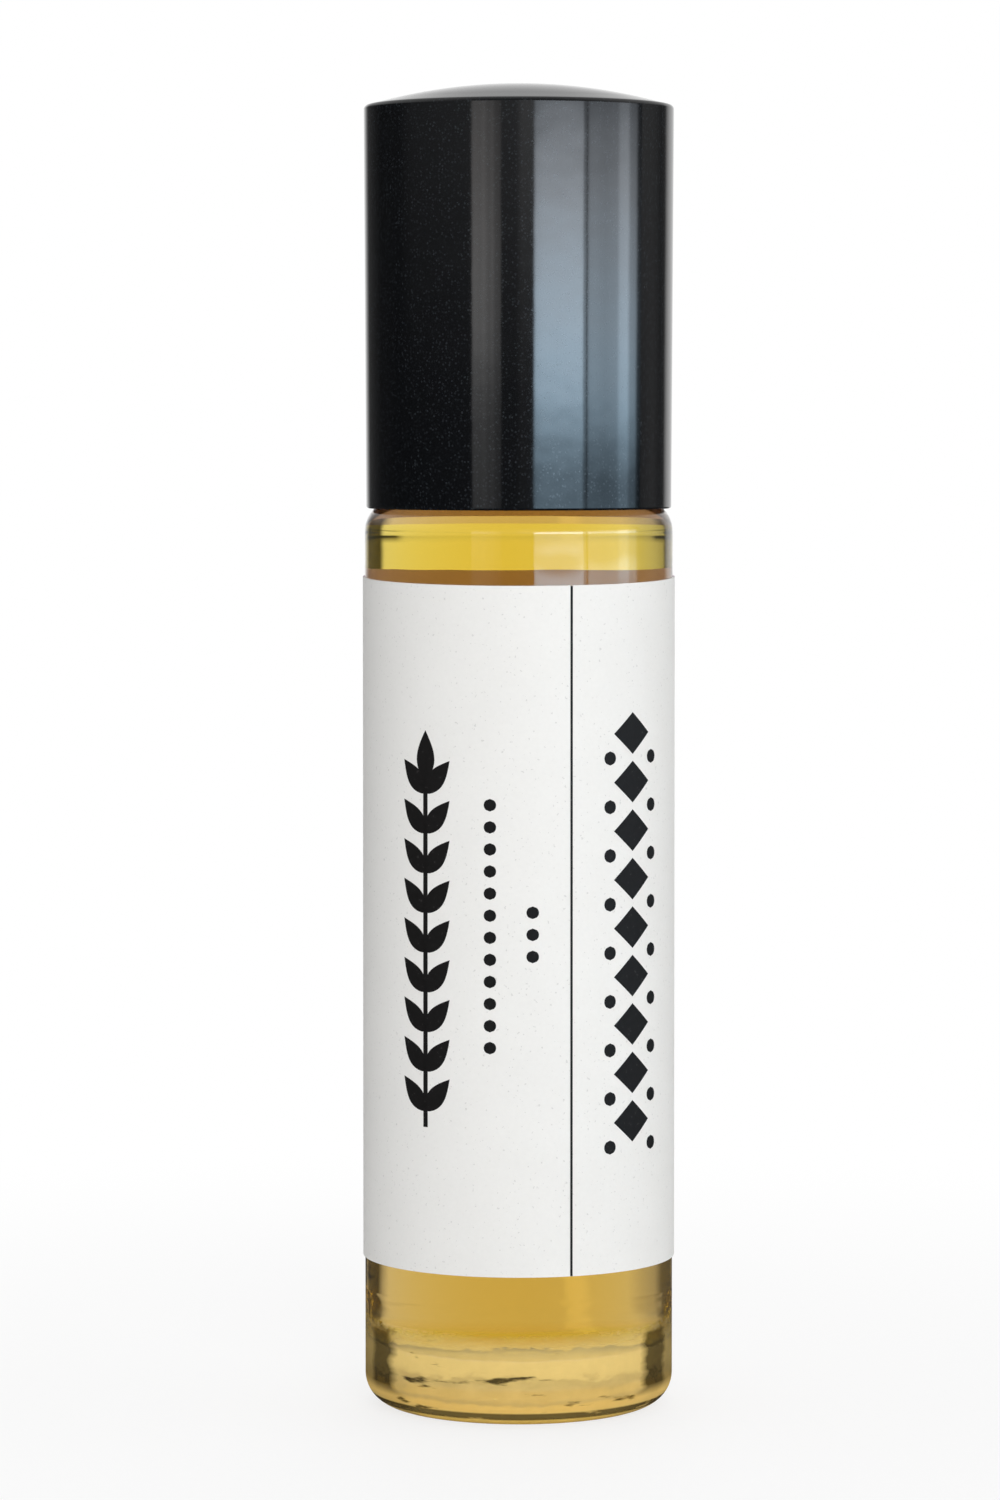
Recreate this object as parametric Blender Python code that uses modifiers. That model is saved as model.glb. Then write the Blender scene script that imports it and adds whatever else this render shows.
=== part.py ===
"""Roll-on bottle for perfume oil, as its separate pieces.

A round glass bottle with a wrap label holds the oil. A moulded housing is pressed into its neck
and holds a steel ball that rolls. A screw cap closes it: a glossy shell round a threaded liner,
with a soft wad that seals the ball.

Lengths are in metres and +Z is up. The origin is the middle of the base, where the bottle
stands, and the middle of the label's print faces -Y.
"""

import math

import bmesh
import bpy
from mathutils import Matrix

# Glass bottle
BOTTLE_DIAMETER = 0.0200
SHOULDER_HEIGHT = 0.0589
NECK_HEIGHT = 0.0125
GLASS_WALL = 0.0022
GLASS_FLOOR = 0.0040
NECK_WALL = 0.0019
SHOULDER_WALL = 0.0014
SHOULDER_ROUND = 0.0021
NECK_ROOT_ROUND = 0.0003
MOUTH_ROUND = 0.0004
THROAT_ROUND = 0.0007
FLOOR_ROUND = 0.0020
BASE_ROUND = 0.0020
BASE_RING_WIDTH = 0.0018
PUSH_UP = 0.0006

# Screw thread, cut in the neck and in the cap's liner
THREAD_LEAD = 0.003175
GLASS_THREAD_DEPTH = 0.00075
LINER_THREAD_DEPTH = 0.0006
THREAD_CLEARANCE = 0.00015
THREAD_PLAY = 0.0001
THREAD_TOP_DROP = 0.0020
THREAD_FOOT_RISE = 0.00415
THREAD_RUN_OUT_DEGREES = 40
THREAD_END_SHARE = 0.35

# Oil
OIL_GAP = 0.00005
OIL_OVER_SHOULDER = 0.0003

# Wrap label
LABEL_END_GAP = 0.0028
LABEL_GAP_DEGREES_FROM_BACK = 50
LABEL_HEIGHT = 0.04385
LABEL_FOOT_RISE = 0.00972
LABEL_THICKNESS = 0.00012
LABEL_GLUE = 0.00003

# Roller ball and its housing
BALL_RISE = 0.0020
BALL_PLAY = 0.0001
SEAT_GAP = 0.00005
SEAT_WALL = 0.0006
SEAT_WIDTH = 0.00122
SEAT_WEB = 0.00085
SEAT_FLARE = 0.0011
LIP_RISE = 0.0018
LIP_WIDTH = 0.0005
CUP_WALL = 0.00135
FLANGE_THICKNESS = 0.0010
FLANGE_INSET = 0.00025
PLUG_LENGTH = 0.0079
PLUG_WALL = 0.0007
PLUG_FIT = 0.00003
PLUG_LEAD_IN = 0.0005
RIB_HEIGHT = 0.0002
RIB_WIDTH = 0.0008
RIB_PITCH = 0.0018
RIB_COUNT = 3
FLUTE_COUNT = 6
FLUTE_WIDTH = 0.0007
FLUTE_DEPTH = 0.0008

# Seal wad
WAD_INSET = 0.00065
WAD_THICKNESS = 0.0016
WAD_GAP = 0.00005
WAD_PLAY = 0.0001
WAD_CHAMFER = 0.0002

# Cap shell
CAP_TOP_PROUD = 0.00005
CAP_FOOT_INSET = 0.0001
CAP_DROP = 0.0006
CAP_TOP_THICKNESS = 0.00186
CAP_HEADROOM = 0.00275
SHELL_WALL = 0.0008
SHELL_FIT = 0.00005
SKIRT_GAP = 0.00018
DOME_RADIUS = 0.0349
DOME_EDGE_ROUND = 0.0003
CAP_FOOT_ROUND = 0.00015

# Cap liner
LINER_WALL = 0.0010
LINER_PLATE = 0.0012
LINER_RECESS = 0.0012
LINER_ENTRY = 0.0004
BOSS_WALL = 0.0009
BOSS_BEAD = 0.0003
BOSS_BEAD_HEIGHT = 0.0006

# Radii, from the cap's outside in to the neck
BOTTLE_RADIUS = BOTTLE_DIAMETER / 2
INNER_RADIUS = BOTTLE_RADIUS - GLASS_WALL
CAP_TOP_RADIUS = BOTTLE_RADIUS + CAP_TOP_PROUD
CAP_FOOT_RADIUS = BOTTLE_RADIUS - CAP_FOOT_INSET
SHELL_BORE_RADIUS = CAP_FOOT_RADIUS - SHELL_WALL
LINER_RADIUS = SHELL_BORE_RADIUS - SHELL_FIT
LINER_BORE_RADIUS = LINER_RADIUS - LINER_WALL
NECK_RADIUS = LINER_BORE_RADIUS - THREAD_CLEARANCE - GLASS_THREAD_DEPTH
NECK_BORE_RADIUS = NECK_RADIUS - NECK_WALL

# Radii, from the bore of the neck in to the ball, whose centre is BALL_RISE over the neck
RIB_RADIUS = NECK_BORE_RADIUS - PLUG_FIT
PLUG_RADIUS = RIB_RADIUS - RIB_HEIGHT
PLUG_BORE_RADIUS = PLUG_RADIUS - PLUG_WALL
SOCKET_RADIUS_AT_RIM = PLUG_RADIUS - SEAT_WALL
SOCKET_RADIUS = math.hypot(SOCKET_RADIUS_AT_RIM, BALL_RISE)
SEAT_BORE_RADIUS = SOCKET_RADIUS_AT_RIM - SEAT_WIDTH
BALL_RADIUS = SOCKET_RADIUS - BALL_PLAY
CUP_RADIUS = SOCKET_RADIUS + CUP_WALL
WAD_RADIUS = BALL_RADIUS - WAD_INSET

# Heights over the table
NECK_TOP = SHOULDER_HEIGHT + NECK_HEIGHT
BALL_HEIGHT = NECK_TOP + BALL_RISE
SEAT_HEIGHT = BALL_HEIGHT - math.sqrt(SOCKET_RADIUS**2 - SEAT_BORE_RADIUS**2)
SEAT_FOOT = SEAT_HEIGHT - SEAT_WEB
WAD_FOOT = BALL_HEIGHT + BALL_RADIUS + WAD_GAP
WAD_TOP = WAD_FOOT + WAD_THICKNESS
PLATE_FOOT = WAD_TOP + WAD_PLAY
PLATE_TOP = PLATE_FOOT + LINER_PLATE
LINER_TOP = PLATE_TOP + CAP_HEADROOM
SHELL_CEILING = LINER_TOP + SEAT_GAP
CAP_TOP = SHELL_CEILING + CAP_TOP_THICKNESS
CAP_FOOT = SHOULDER_HEIGHT - CAP_DROP
LINER_FOOT = CAP_FOOT + LINER_RECESS
THREAD_FOOT = SHOULDER_HEIGHT + THREAD_FOOT_RISE
THREAD_TOP = NECK_TOP - THREAD_TOP_DROP

# Facets
TURN_STEPS = 48
ROUND_STEPS = 4
EDGE_STEPS = 2
SOCKET_STEPS = 8
DOME_STEPS = 6
THREAD_POINTS_PER_TURN = 24
BALL_SEGMENTS = 32
BALL_RINGS = 16
SHARP_DEGREES = 35
WELD = 0.000001

# Collections

for old in list(bpy.data.objects):
    bpy.data.objects.remove(old, do_unlink=True)

PARTS = bpy.data.collections.new("perfume_oil_bottle")
CUTTERS = bpy.data.collections.new("cutters")
bpy.context.scene.collection.children.link(PARTS)
bpy.context.scene.collection.children.link(CUTTERS)
CUTTERS.hide_render = True


def finish(name, colour, roughness, metallic=0.0, transmission=0.0, ior=1.5):
    """A Principled material."""
    material = bpy.data.materials.new(name)
    material.use_nodes = True
    shader = material.node_tree.nodes["Principled BSDF"]
    shader.inputs["Base Color"].default_value = (*colour, 1.0)
    shader.inputs["Roughness"].default_value = roughness
    shader.inputs["Metallic"].default_value = metallic
    shader.inputs["Transmission Weight"].default_value = transmission
    shader.inputs["IOR"].default_value = ior
    return material


def arc(centre_r, centre_z, radius, start, end, steps):
    """Points of a profile's round stretch, by angle in degrees from straight out."""
    angles = [math.radians(start + (end - start) * i / steps) for i in range(steps + 1)]
    return [(centre_r + radius * math.cos(a), centre_z + radius * math.sin(a)) for a in angles]


def without_repeats(profile):
    """The profile with each point that repeats the one before it left out."""
    kept = profile[:1]
    for point in profile[1:]:
        if math.dist(point, kept[-1]) > WELD:
            kept.append(point)
    return kept


def turned(name, profile, material, ring=False, angle=math.tau, steps=TURN_STEPS):
    """An object whose profile, in radius and height, a Screw modifier turns round the Z axis.

    The profile runs down its outer side. It starts and ends on the axis, or is a closed ring.
    """
    points = without_repeats(profile)
    edges = [(i, i + 1) for i in range(len(points) - 1)]
    if ring:
        edges.append((len(points) - 1, 0))
    mesh = bpy.data.meshes.new(name)
    mesh.from_pydata([(r, 0, z) for r, z in points], edges, [])
    mesh.materials.append(material)
    part = bpy.data.objects.new(name, mesh)
    PARTS.objects.link(part)
    screw = part.modifiers.new("turn", "SCREW")
    screw.axis = "Z"
    screw.angle = angle
    screw.steps = steps
    screw.render_steps = steps
    screw.use_merge_vertices = True
    screw.merge_threshold = WELD
    return part


def keep_shape(part):
    """Makes the modifiers' result the object's own mesh, shaded smooth between sharp edges."""
    graph = bpy.context.evaluated_depsgraph_get()
    mesh = bpy.data.meshes.new_from_object(part.evaluated_get(graph))
    part.modifiers.clear()
    old = part.data
    part.data = mesh
    bpy.data.meshes.remove(old)
    mesh.name = part.name
    mesh.shade_smooth()
    mesh.set_sharp_from_angle(angle=math.radians(SHARP_DEGREES))
    return part


def cutter(name, mesh):
    """A helper object that a Boolean reads and nothing shows."""
    helper = bpy.data.objects.new(name, mesh)
    CUTTERS.objects.link(helper)
    helper.hide_render = True
    helper.display_type = "WIRE"
    return helper


def combine(part, helper, operation):
    boolean = part.modifiers.new(helper.name, "BOOLEAN")
    boolean.operation = operation
    boolean.object = helper
    boolean.solver = "EXACT"


def thread_ridge(name, surface_radius, depth, foot, top, sink):
    """A half-round helical ridge on a round wall, which runs out into the wall at both ends.

    sink is -1 where the wall is inside the ridge, and 1 where it is outside.
    """
    turns = (top - foot) / THREAD_LEAD
    count = round(turns * THREAD_POINTS_PER_TURN)
    run_out_share = THREAD_RUN_OUT_DEGREES / 360 / turns
    curve = bpy.data.curves.new(name, "CURVE")
    curve.dimensions = "3D"
    curve.twist_mode = "Z_UP"
    curve.bevel_depth = depth
    curve.bevel_resolution = 2
    curve.use_fill_caps = True
    spline = curve.splines.new("POLY")
    spline.points.add(count)
    for i, point in enumerate(spline.points):
        share = i / count
        angle = math.tau * turns * share
        from_end_share = min(share, 1 - share) / run_out_share
        size_share = THREAD_END_SHARE + (1 - THREAD_END_SHARE) * min(1, from_end_share)
        radius = surface_radius + sink * depth * (1 - size_share)
        height = foot + (top - foot) * share
        point.co = (radius * math.cos(angle), radius * math.sin(angle), height, 1)
        point.radius = size_share
    tube = bpy.data.objects.new(name, curve)
    CUTTERS.objects.link(tube)
    graph = bpy.context.evaluated_depsgraph_get()
    mesh = bpy.data.meshes.new_from_object(tube.evaluated_get(graph))
    bpy.data.objects.remove(tube, do_unlink=True)
    shape = bmesh.new()
    shape.from_mesh(mesh)
    bmesh.ops.remove_doubles(shape, verts=shape.verts, dist=WELD)
    bmesh.ops.recalc_face_normals(shape, faces=shape.faces)
    shape.to_mesh(mesh)
    shape.free()
    return cutter(name, mesh)


def cavity_outline(gap, top):
    """The inside of the glass from the middle of its floor up to top, drawn in by gap."""
    ceiling = SHOULDER_HEIGHT - SHOULDER_WALL
    inner_shoulder_round = INNER_RADIUS - NECK_BORE_RADIUS - THROAT_ROUND
    shoulder_centre = INNER_RADIUS - inner_shoulder_round
    floor_centre = INNER_RADIUS - FLOOR_ROUND
    return [
        (0, GLASS_FLOOR + gap),
        *arc(floor_centre, GLASS_FLOOR + FLOOR_ROUND, FLOOR_ROUND - gap, -90, 0, ROUND_STEPS),
        *arc(
            shoulder_centre,
            ceiling - inner_shoulder_round,
            inner_shoulder_round - gap,
            0,
            90,
            ROUND_STEPS,
        ),
        *arc(
            shoulder_centre, ceiling + THROAT_ROUND, THROAT_ROUND + gap, -90, -180, EDGE_STEPS
        ),
        (NECK_BORE_RADIUS - gap, top),
    ]


def glass_bottle():
    """Clear glass: a heavy base, a round shoulder, and a neck with a ridge for the cap."""
    shoulder_centre = BOTTLE_RADIUS - SHOULDER_ROUND
    root_round = min(NECK_ROOT_ROUND, (shoulder_centre - NECK_RADIUS) / 2)
    ring_inside = BOTTLE_RADIUS - BASE_ROUND - BASE_RING_WIDTH
    mouth_centre = NECK_TOP - MOUTH_ROUND
    profile = [
        *cavity_outline(0, mouth_centre),
        *arc(NECK_BORE_RADIUS + MOUTH_ROUND, mouth_centre, MOUTH_ROUND, 180, 90, EDGE_STEPS),
        *arc(NECK_RADIUS - MOUTH_ROUND, mouth_centre, MOUTH_ROUND, 90, 0, EDGE_STEPS),
        *arc(
            NECK_RADIUS + root_round,
            SHOULDER_HEIGHT + root_round,
            root_round,
            180,
            270,
            EDGE_STEPS,
        ),
        *arc(
            shoulder_centre, SHOULDER_HEIGHT - SHOULDER_ROUND, SHOULDER_ROUND, 90, 0, ROUND_STEPS
        ),
        *arc(BOTTLE_RADIUS - BASE_ROUND, BASE_ROUND, BASE_ROUND, 0, -90, ROUND_STEPS),
        (ring_inside, 0),
        (ring_inside - PUSH_UP, PUSH_UP),
        (0, PUSH_UP),
    ]
    glass = finish("clear_glass", (0.92, 0.95, 0.94), 0.02, transmission=1.0, ior=1.52)
    bottle = turned("glass_bottle", profile, glass)
    ridge = thread_ridge(
        "neck_ridge", NECK_RADIUS, GLASS_THREAD_DEPTH, THREAD_FOOT, THREAD_TOP, -1
    )
    combine(bottle, ridge, "UNION")
    return keep_shape(bottle)


def perfume_oil():
    """The oil, which fills the glass up into the foot of the neck."""
    level = SHOULDER_HEIGHT + OIL_OVER_SHOULDER
    profile = [(0, level), *reversed(cavity_outline(OIL_GAP, level))]
    amber = finish("amber_oil", (0.78, 0.42, 0.06), 0.05, transmission=1.0, ior=1.47)
    return keep_shape(turned("perfume_oil", profile, amber))


def label():
    """A paper label, wrapped round the glass, with a narrow gap between its ends behind."""
    inside = BOTTLE_RADIUS + LABEL_GLUE
    wrap = math.tau - LABEL_END_GAP / inside
    steps = round(TURN_STEPS * wrap / math.tau)
    top = LABEL_FOOT_RISE + LABEL_HEIGHT
    outside = inside + LABEL_THICKNESS
    paper = finish("label_paper", (0.82, 0.82, 0.80), 0.6)
    sheet = turned(
        "label", [(outside, top), (outside, LABEL_FOOT_RISE)], paper, angle=wrap, steps=steps
    )
    wall = sheet.modifiers.new("paper", "SOLIDIFY")
    wall.thickness = LABEL_THICKNESS
    wall.offset = -1
    gap_middle = math.pi / 2 - math.radians(LABEL_GAP_DEGREES_FROM_BACK)
    sheet.rotation_euler.z = gap_middle + (math.tau - wrap) / 2
    return keep_shape(sheet)


def flutes():
    """The channels that let oil past the ball's seat, as one cutter of separate blocks."""
    inside = SEAT_BORE_RADIUS / 2
    outside = SEAT_BORE_RADIUS + FLUTE_DEPTH
    foot = SEAT_FOOT - SEAT_FLARE
    size = (outside - inside, FLUTE_WIDTH, BALL_HEIGHT - foot)
    middle = ((inside + outside) / 2, 0, (foot + BALL_HEIGHT) / 2)
    shape = bmesh.new()
    for i in range(FLUTE_COUNT):
        turn = Matrix.Rotation(math.tau * i / FLUTE_COUNT, 4, "Z")
        place = turn @ Matrix.Translation(middle) @ Matrix.Diagonal((*size, 1))
        bmesh.ops.create_cube(shape, size=1, matrix=place)
    mesh = bpy.data.meshes.new("flutes")
    shape.to_mesh(mesh)
    shape.free()
    return cutter("flutes", mesh)


def plug_ribs():
    """The sealing ribs of the plug, from the top one down, as points of its outer side."""
    points = []
    for i in range(RIB_COUNT):
        middle = NECK_TOP - RIB_PITCH * (i + 1)
        points += [
            (PLUG_RADIUS, middle + RIB_WIDTH / 2),
            (RIB_RADIUS, middle),
            (PLUG_RADIUS, middle - RIB_WIDTH / 2),
        ]
    return points


def roller_housing():
    """The moulded cup that holds the ball, with a flange on the glass and a plug in the neck."""
    lip = BALL_HEIGHT + LIP_RISE
    lip_radius = math.sqrt(SOCKET_RADIUS**2 - LIP_RISE**2)
    cup_round = CUP_RADIUS - lip_radius - LIP_WIDTH
    flange_radius = NECK_RADIUS - FLANGE_INSET
    flange_foot = NECK_TOP + SEAT_GAP
    plug_foot = NECK_TOP - PLUG_LENGTH
    lip_angle = math.degrees(math.asin(LIP_RISE / SOCKET_RADIUS))
    seat_angle = -math.degrees(math.acos(SEAT_BORE_RADIUS / SOCKET_RADIUS))
    profile = [
        *arc(CUP_RADIUS - cup_round, lip - cup_round, cup_round, 90, 0, ROUND_STEPS),
        (CUP_RADIUS, flange_foot + FLANGE_THICKNESS),
        (flange_radius, flange_foot + FLANGE_THICKNESS),
        (flange_radius, flange_foot),
        (PLUG_RADIUS, flange_foot),
        *plug_ribs(),
        (PLUG_RADIUS, plug_foot + PLUG_LEAD_IN),
        (PLUG_RADIUS - PLUG_WALL / 2, plug_foot),
        (PLUG_BORE_RADIUS, plug_foot),
        (PLUG_BORE_RADIUS, SEAT_FOOT - SEAT_FLARE),
        (SEAT_BORE_RADIUS, SEAT_FOOT),
        *arc(0, BALL_HEIGHT, SOCKET_RADIUS, seat_angle, lip_angle, SOCKET_STEPS),
    ]
    white = finish("housing_polyethylene", (0.78, 0.78, 0.76), 0.4)
    housing = turned("roller_housing", profile, white, ring=True)
    combine(housing, flutes(), "DIFFERENCE")
    return keep_shape(housing)


def roller_ball():
    """The polished steel ball, with its origin at its centre."""
    mesh = bpy.data.meshes.new("roller_ball")
    shape = bmesh.new()
    bmesh.ops.create_uvsphere(
        shape, u_segments=BALL_SEGMENTS, v_segments=BALL_RINGS, radius=BALL_RADIUS
    )
    shape.to_mesh(mesh)
    shape.free()
    mesh.shade_smooth()
    mesh.materials.append(finish("polished_steel", (0.72, 0.72, 0.72), 0.08, metallic=1.0))
    ball = bpy.data.objects.new("roller_ball", mesh)
    PARTS.objects.link(ball)
    ball.location.z = BALL_HEIGHT
    return ball


def seal_wad():
    """The soft disc under the liner's plate that the closed cap holds down on the ball."""
    profile = [
        (0, WAD_TOP),
        (WAD_RADIUS - WAD_CHAMFER, WAD_TOP),
        (WAD_RADIUS, WAD_TOP - WAD_CHAMFER),
        (WAD_RADIUS, WAD_FOOT + WAD_CHAMFER),
        (WAD_RADIUS - WAD_CHAMFER, WAD_FOOT),
        (0, WAD_FOOT),
    ]
    foam = finish("wad_foam", (0.85, 0.85, 0.83), 0.8)
    return keep_shape(turned("seal_wad", profile, foam))


def cap_liner():
    """The threaded liner: a sleeve, a plate across it, and a boss that traps the wad."""
    boss_bore = WAD_RADIUS + WAD_PLAY
    bead_radius = WAD_RADIUS - BOSS_BEAD
    bead_top = WAD_FOOT - WAD_PLAY
    bead_foot = bead_top - BOSS_BEAD_HEIGHT
    profile = [
        (0, PLATE_TOP),
        (LINER_BORE_RADIUS, PLATE_TOP),
        (LINER_BORE_RADIUS, LINER_TOP),
        (LINER_RADIUS, LINER_TOP),
        (LINER_RADIUS, LINER_FOOT),
        (LINER_BORE_RADIUS + LINER_ENTRY, LINER_FOOT),
        (LINER_BORE_RADIUS, LINER_FOOT + LINER_ENTRY),
        (LINER_BORE_RADIUS, PLATE_FOOT),
        (boss_bore + BOSS_WALL, PLATE_FOOT),
        (boss_bore + BOSS_WALL, bead_foot),
        (bead_radius, bead_foot),
        (bead_radius, bead_top - (boss_bore - bead_radius) / 2),
        (boss_bore, bead_top),
        (boss_bore, PLATE_FOOT),
        (0, PLATE_FOOT),
    ]
    natural = finish("liner_polypropylene", (0.80, 0.80, 0.78), 0.45)
    liner = turned("cap_liner", profile, natural)
    across = THREAD_CLEARANCE + GLASS_THREAD_DEPTH
    apart = GLASS_THREAD_DEPTH + LINER_THREAD_DEPTH + THREAD_PLAY
    drop = math.sqrt(apart**2 - across**2)
    ridge = thread_ridge(
        "liner_ridge",
        LINER_BORE_RADIUS,
        LINER_THREAD_DEPTH,
        THREAD_FOOT - drop,
        THREAD_TOP - drop,
        1,
    )
    combine(liner, ridge, "UNION")
    return keep_shape(liner)


def cap_shell():
    """The glossy outer cap: straight sides that narrow a little downwards, and a low dome."""
    dome_centre = CAP_TOP - DOME_RADIUS
    round_centre_radius = CAP_TOP_RADIUS - DOME_EDGE_ROUND
    reach = DOME_RADIUS - DOME_EDGE_ROUND
    round_centre = dome_centre + math.sqrt(reach**2 - round_centre_radius**2)
    edge = math.degrees(math.acos(round_centre_radius / reach))
    shoulder_centre = SHOULDER_HEIGHT - SHOULDER_ROUND
    across = BOTTLE_RADIUS - SHOULDER_ROUND + SKIRT_GAP
    mouth_radius = across + math.sqrt(SHOULDER_ROUND**2 - (CAP_FOOT - shoulder_centre) ** 2)
    relief_top = shoulder_centre + math.sqrt(
        SHOULDER_ROUND**2 - (SHELL_BORE_RADIUS - across) ** 2
    )
    foot_round = min(CAP_FOOT_ROUND, (CAP_FOOT_RADIUS - mouth_radius) / 2)
    profile = [
        *arc(0, dome_centre, DOME_RADIUS, 90, edge, DOME_STEPS),
        *arc(round_centre_radius, round_centre, DOME_EDGE_ROUND, edge, 0, EDGE_STEPS),
        *arc(
            CAP_FOOT_RADIUS - foot_round, CAP_FOOT + foot_round, foot_round, 0, -90, EDGE_STEPS
        ),
        (mouth_radius, CAP_FOOT),
        (SHELL_BORE_RADIUS, relief_top),
        (SHELL_BORE_RADIUS, SHELL_CEILING),
        (0, SHELL_CEILING),
    ]
    black = finish("gloss_black_shell", (0.012, 0.012, 0.014), 0.08)
    return keep_shape(turned("cap_shell", profile, black))


def on_body(name, height, pieces):
    """An empty on the bottle's axis that carries the pieces of one body."""
    body = bpy.data.objects.new(name, None)
    PARTS.objects.link(body)
    body.location.z = height
    for piece in pieces:
        piece.parent = body
        piece.matrix_parent_inverse = Matrix.Translation((0, 0, -height))


on_body("bottle", 0, [glass_bottle(), perfume_oil(), label(), roller_housing()])
on_body("ball", BALL_HEIGHT, [roller_ball()])
on_body("seal", WAD_FOOT, [seal_wad()])
on_body("cap", CAP_FOOT, [cap_shell(), cap_liner()])
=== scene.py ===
"""The looks of a roll-on bottle for perfume oil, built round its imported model.

After the camera and the light, the sections follow the bottle from its glass out to its cap. Each
holds one piece's sizes, shape, finish and place. Lengths are in metres, +Z is up, and the middle of
the label faces -Y.
"""
import math

import bmesh
import bpy
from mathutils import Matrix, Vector


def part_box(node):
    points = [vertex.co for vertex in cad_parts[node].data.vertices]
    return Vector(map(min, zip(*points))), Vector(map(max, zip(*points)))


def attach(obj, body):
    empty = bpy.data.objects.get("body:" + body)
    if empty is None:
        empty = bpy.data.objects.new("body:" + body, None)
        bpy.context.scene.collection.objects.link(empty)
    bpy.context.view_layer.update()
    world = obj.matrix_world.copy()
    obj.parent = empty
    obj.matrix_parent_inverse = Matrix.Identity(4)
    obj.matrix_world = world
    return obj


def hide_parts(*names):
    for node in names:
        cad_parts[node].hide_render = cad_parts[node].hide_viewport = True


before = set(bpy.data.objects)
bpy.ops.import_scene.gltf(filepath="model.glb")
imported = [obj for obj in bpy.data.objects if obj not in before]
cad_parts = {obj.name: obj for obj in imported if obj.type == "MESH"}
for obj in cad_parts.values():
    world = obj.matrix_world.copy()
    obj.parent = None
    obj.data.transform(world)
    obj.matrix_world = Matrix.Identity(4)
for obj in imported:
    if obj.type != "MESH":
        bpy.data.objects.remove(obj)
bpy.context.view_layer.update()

# Camera
# A long lens, level with the cap and tipped down a little, a forearm's length from the bottle.
# The bottle stands just right of the middle of the picture.
CAMERA_PLACE = (-0.00122, -0.3393, 0.06406)
CAMERA_TIP_DEGREES = 1.98
CAMERA_LENS_MM = 125.35
CAMERA_SHIFT_SHARE = -0.1
CAMERA_CLIP_START = 0.01

bpy.ops.object.camera_add(
    location=CAMERA_PLACE, rotation=(math.radians(90 - CAMERA_TIP_DEGREES), 0, 0)
)
camera = bpy.context.object
camera.data.lens = CAMERA_LENS_MM
camera.data.shift_y = CAMERA_SHIFT_SHARE
camera.data.clip_start = CAMERA_CLIP_START
bpy.context.scene.camera = camera
bpy.context.scene.view_settings.view_transform = "Standard"

# Studio
# A pale table in a white room: white behind the bottle, dim in front of it and dark at two narrow
# places beside it, so that the glass and the gloss of the cap have something to show.
TABLE_RADIUS = 0.4
TABLE_SIDES = 96
TABLE_DROP = 0.00002
TABLE_COLOUR = (0.93, 0.93, 0.93, 1)
TABLE_GLOW_IN_OIL = (1.0, 0.91, 1.6, 1)
TABLE_IN_GLOSS = 0.05
BOTTLE_BACK = 0.0100
NEAR_THE_FOOT = 0.020
PAST_ONE_SURFACE = 0.5
PAST_FOUR_SURFACES = 4.5
ROOM_OVERHEAD = 0.7
OVERHEAD_FROM = 0.12
FRONT_DIMMING = 0.6
HORIZON_LIGHT = 0.37
HORIZON_CLIMB = 19.0
HORIZON_RANGE = (0.2, 1.3)
RAISED_FROM = 0.01
SHADOW_FADE_START = 0.02
SHADOW_FADE_END = 0.12
SHADOW_SHARE = 0.22
# Light by azimuth, in degrees round the bottle from the camera to its right. Gloss shows the first.
# Glass shows the others, by where its light comes from: the room, the table, and the table close to
# the foot or the room above it.
MIRRORED_ROOM = (
    (-180, 1.0), (-166, 1.0), (-158, 0.5), (-152, 0.1), (-125, 0.03), (-100, 0.04), (-86, 0.12),
    (-45, 0.2), (-2, 0.3), (2, 0.6), (9, 0.6), (50, 0.35), (105, 0.3), (118, 0.22), (131, 0.08),
    (140, 0.1), (144, 0.6), (150, 0.95), (180, 1.0),
)
ROOM_THROUGH_GLASS = (
    (-180, 1.0), (-151, 1.0), (-142, 0.72), (-131, 0.58), (-124, 0.45), (-121, 0.06),
    (-107, 0.06), (-103, 0.5), (0, 0.5), (90, 0.5), (110, 0.4), (114, 0.06), (130, 0.06),
    (134, 1.0), (180, 1.0),
)
TABLE_THROUGH_GLASS = (
    (-180, 0.79), (-171.5, 0.79), (-170, 0.93), (-166.5, 0.93), (-165, 0.8), (-152, 0.78),
    (-144, 0.58), (-134, 0.45), (-126, 0.12), (-107, 0.05), (-103, 0.5), (0, 0.5), (107, 0.5),
    (111, 0.05), (129, 0.05), (134, 0.5), (139, 0.79), (180, 0.8),
)
FOOT_THROUGH_GLASS = (
    (-180, 0.82), (-171.5, 0.82), (-170, 0.96), (-166.5, 0.96), (-165, 0.8), (-152, 0.78),
    (-146, 0.6), (-137, 0.45), (-132, 0.06), (-107, 0.05), (-103, 0.5), (0, 0.5), (107, 0.5),
    (111, 0.05), (142, 0.05), (147, 0.8), (180, 0.84),
)


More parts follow.
